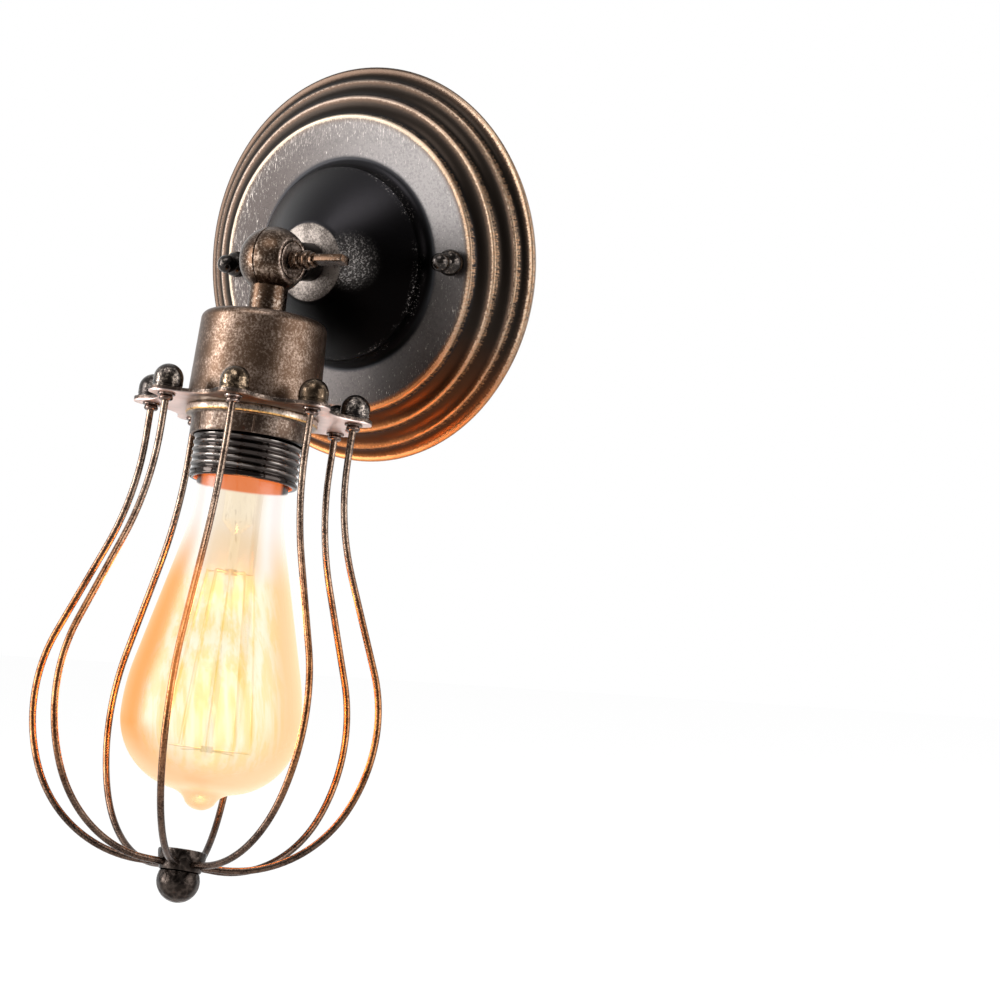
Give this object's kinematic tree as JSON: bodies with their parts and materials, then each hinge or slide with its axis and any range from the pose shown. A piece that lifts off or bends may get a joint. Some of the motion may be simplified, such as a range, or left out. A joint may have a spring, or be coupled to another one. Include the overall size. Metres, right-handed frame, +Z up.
{
  "type": "cage wall light",
  "caption": "Wall light with a stepped round plate, a short swivel arm, a socket husk and a wire cage that widens round a bare bulb and closes at a ball finial.",
  "frame": {"origin": "centre of the wall plate's back, in the plane of the wall, midway between the strap's two box slots", "axes": "+Z up the wall, +X to the right when facing the wall (thumb screw side), +Y into the wall, so the light stands out along -Y"},
  "size_m": [0.135, 0.15, 0.2757],
  "materials": {
    "plate_bronze": "satin, rubbed edges",
    "cage_bronze": "satin, rubbed edges",
    "knuckle_bronze": "satin, speckled",
    "gunmetal": "glossy",
    "zinc": "zinc plated",
    "green_screw": "dyed",
    "phenolic": "glossy",
    "brass": "plain",
    "lead_black": "matt",
    "lead_white": "matt",
    "clear_glass": "clear",
    "filament": "glowing"
  },
  "bodies": {
    "wall_side": {"canopy": "plate_bronze", "crossbar": "zinc", "crossbar_studs": "zinc", "stud_lock_nuts": "zinc", "canopy_ball_nuts": "gunmetal", "ground_screw": "green_screw", "arm_washer": "zinc", "arm_lock_nut": "zinc", "arm_nipple": "zinc", "swivel_arm": "knuckle_bronze", "live_lead_arm": "lead_black", "neutral_lead_arm": "lead_white"},
    "head": {"swivel_head": "knuckle_bronze", "head_nipple": "zinc", "head_lock_nut": "zinc", "husk": "knuckle_bronze", "socket_cap": "phenolic", "socket_body": "phenolic", "screw_shell": "brass", "centre_contact": "brass", "live_lead_head": "lead_black", "neutral_lead_head": "lead_white", "clamp_ring": "knuckle_bronze", "cage_ring": "cage_bronze", "ring_ball_nuts": "gunmetal", "ring_collar_nuts": "cage_bronze", "cage_wire_1": "cage_bronze", "cage_wire_2": "cage_bronze", "cage_wire_3": "cage_bronze", "cage_wire_4": "cage_bronze", "cage_wire_5": "cage_bronze", "cage_wire_6": "cage_bronze", "cage_wire_7": "cage_bronze", "cage_wire_8": "cage_bronze", "cage_cup": "cage_bronze"},
    "thumb_screw": {"thumb_screw": "knuckle_bronze"},
    "finial": {"finial": "gunmetal"},
    "bulb": {"bulb_glass": "clear_glass", "bulb_base": "brass", "bulb_insulator": "phenolic", "bulb_contact": "zinc", "bulb_stem": "clear_glass", "filament_supports": "zinc", "filament": "filament"}
  },
  "joints": [
    {"name": "head_tilt", "type": "hinge", "parent": "wall_side", "child": "head", "pos_m": [0, -0.0595, 0], "axis": [-1, 0, 0], "range_deg": [-14, 160]},
    {"name": "thumb_screw_turn", "type": "hinge", "parent": "head", "child": "thumb_screw", "pos_m": [0, -0.0595, 0], "axis": [1, 0, 0], "range_deg": [0, 720]},
    {"name": "bulb_turn", "type": "hinge", "parent": "head", "child": "bulb", "pos_m": [0, -0.08445, -0.11738], "axis": [0, -0.2079, -0.9781], "range_deg": [0, 1080]},
    {"name": "finial_turn", "type": "hinge", "parent": "head", "child": "finial", "pos_m": [0, -0.10811, -0.20119], "axis": [0, -0.2436, -0.9699], "range_deg": [0, 720]}
  ]
}
